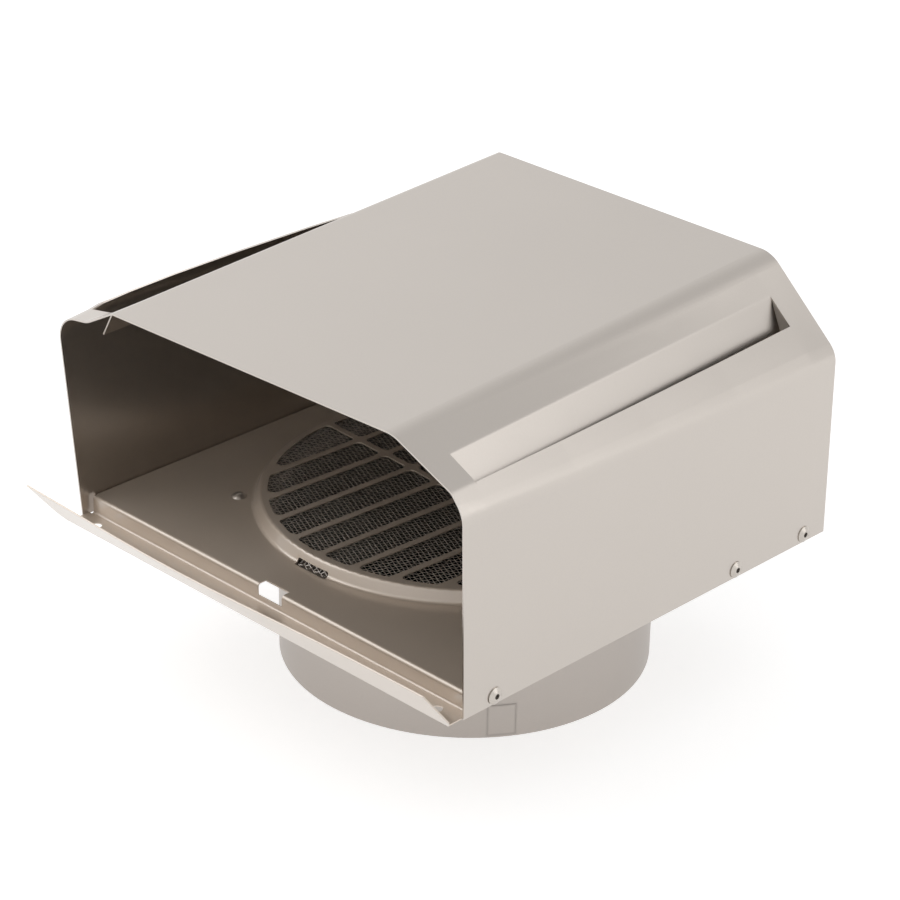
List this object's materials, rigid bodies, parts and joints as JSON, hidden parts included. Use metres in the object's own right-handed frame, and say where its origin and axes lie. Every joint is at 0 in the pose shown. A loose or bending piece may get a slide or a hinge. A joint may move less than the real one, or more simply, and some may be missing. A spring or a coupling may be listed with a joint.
{
  "type": "dryer vent cap",
  "caption": "Folded stainless wall vent hood with a punched grille, a woven insect screen behind it and a round duct collar.",
  "frame": {"origin": "centre of the duct collar's free rim", "axes": "+Z along the duct axis from the wall duct towards the hood's top panel, -Y out of the hood's open mouth, +X to the right as seen from the mouth; hung on a wall, -Y is down"},
  "size_m": [0.2144, 0.226, 0.1637],
  "materials": {
    "hood_steel": "satin, fine grain",
    "plate_steel": "satin, fine grain",
    "collar_steel": "satin, rolled",
    "screen_wire": "drawn wire",
    "rivet_steel": "smooth",
    "mandrel_steel": "dull, broken end"
  },
  "bodies": {
    "root": {"hood_shell": "hood_steel", "end_panel": "hood_steel", "base_plate": "plate_steel", "duct_collar": "collar_steel", "insect_screen": "screen_wire", "side_rivets": "rivet_steel", "side_rivet_mandrels": "mandrel_steel", "plate_rivets": "rivet_steel"}
  },
  "joints": []
}
